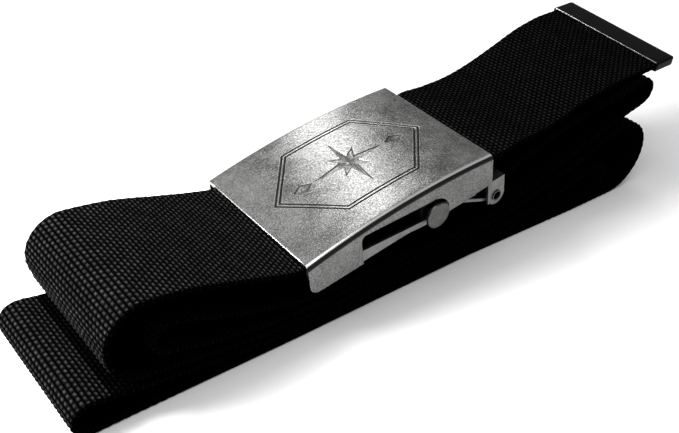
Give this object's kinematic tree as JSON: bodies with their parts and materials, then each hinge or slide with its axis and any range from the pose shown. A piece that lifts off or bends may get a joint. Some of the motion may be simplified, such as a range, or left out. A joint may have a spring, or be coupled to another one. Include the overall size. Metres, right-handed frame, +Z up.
{
  "type": "folded webbing belt with roller buckle",
  "caption": "Black webbing waist belt folded into a flat stack, with a metal plate buckle, sliding locking roller, hinged clamp and a painted metal tip.",
  "frame": {"origin": "middle of the bottom of the folded belt's box, on the surface it lies on", "axes": "+X along the belt toward its loose end, +Y across the webbing's width, +Z up"},
  "size_m": [0.1883, 0.0444, 0.042],
  "materials": {
    "plate_metal": "brushed, tumbled nickel plate",
    "frame_metal": "plain plated sheet",
    "roller_metal": "turned and plated",
    "webbing": "coarse plain weave",
    "tip_paint": "gloss black paint, worn edges"
  },
  "bodies": {
    "belt": {"face_plate": "plate_metal", "inner_frame": "frame_metal", "hinge_pin": "frame_metal", "webbing": "webbing", "belt_tip": "tip_paint"},
    "roller_carriage": {"roller_pin": "roller_metal", "roller_cap": "roller_metal"},
    "roller": {"roller_sleeve": "roller_metal"},
    "clamp": {"clamp_flap": "frame_metal"}
  },
  "joints": [
    {"name": "roller_slide", "type": "slide", "parent": "belt", "child": "roller_carriage", "axis": [-0.9985, 0, -0.0541], "range_m": [0, 0.02]},
    {"name": "roller_spin", "type": "hinge", "parent": "roller_carriage", "child": "roller", "pos_m": [0.00229, 0, 0.02162], "axis": [0, 1, 0], "continuous": true},
    {"name": "clamp_pivot", "type": "hinge", "parent": "belt", "child": "clamp", "pos_m": [0.02521, 0, 0.01796], "axis": [0, -1, 0], "range_deg": [0, 38]}
  ]
}
